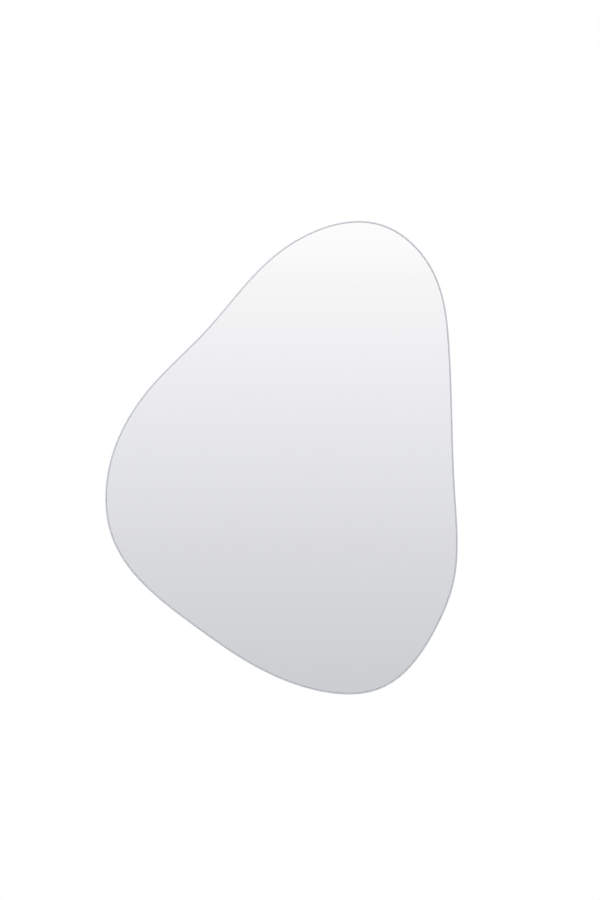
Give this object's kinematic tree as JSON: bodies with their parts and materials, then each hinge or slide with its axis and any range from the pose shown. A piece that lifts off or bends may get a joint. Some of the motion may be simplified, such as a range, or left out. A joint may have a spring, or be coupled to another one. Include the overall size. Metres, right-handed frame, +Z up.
{
  "type": "irregular wall mirror",
  "caption": "Frameless wall mirror in an asymmetric pebble shape, with a polished edge, bonded to a hidden backing board that hangs on keyhole plates.",
  "frame": {"origin": "midway between the centres of the two keyholes' wide entry holes, in the backing board's back face", "axes": "+Z up, +X to the right of someone facing the mirror, +Y towards the wall; the glass faces -Y"},
  "size_m": [0.3719, 0.0172, 0.4998],
  "materials": {
    "glass": "clear float glass with a polished edge",
    "silvering": "bright silver",
    "backing_paint": "flat grey mirror backing paint",
    "foam_tape": "closed cell foam",
    "silicone": "translucent mirror silicone",
    "lacquered_board": "black satin lacquer on fibreboard",
    "zinc_plate": "bright zinc plating",
    "screw_steel": "zinc plated, slightly duller than the plates",
    "bumper_rubber": "matt black rubber"
  },
  "bodies": {
    "root": {"mirror_pane": "glass", "silver_layer": "silvering", "back_paint": "backing_paint", "tape_strip_1": "foam_tape", "tape_strip_2": "foam_tape", "tape_strip_3": "foam_tape", "tape_strip_4": "foam_tape", "adhesive_bead_1": "silicone", "adhesive_bead_2": "silicone", "adhesive_bead_3": "silicone", "backing_board": "lacquered_board", "hanger_plate_left": "zinc_plate", "hanger_plate_right": "zinc_plate", "hanger_screw_left_outer": "screw_steel", "hanger_screw_left_inner": "screw_steel", "hanger_screw_right_outer": "screw_steel", "hanger_screw_right_inner": "screw_steel", "wall_bumper_lower_left": "bumper_rubber", "wall_bumper_upper_left": "bumper_rubber", "wall_bumper_lower_right": "bumper_rubber", "wall_bumper_upper_right": "bumper_rubber"}
  },
  "joints": []
}
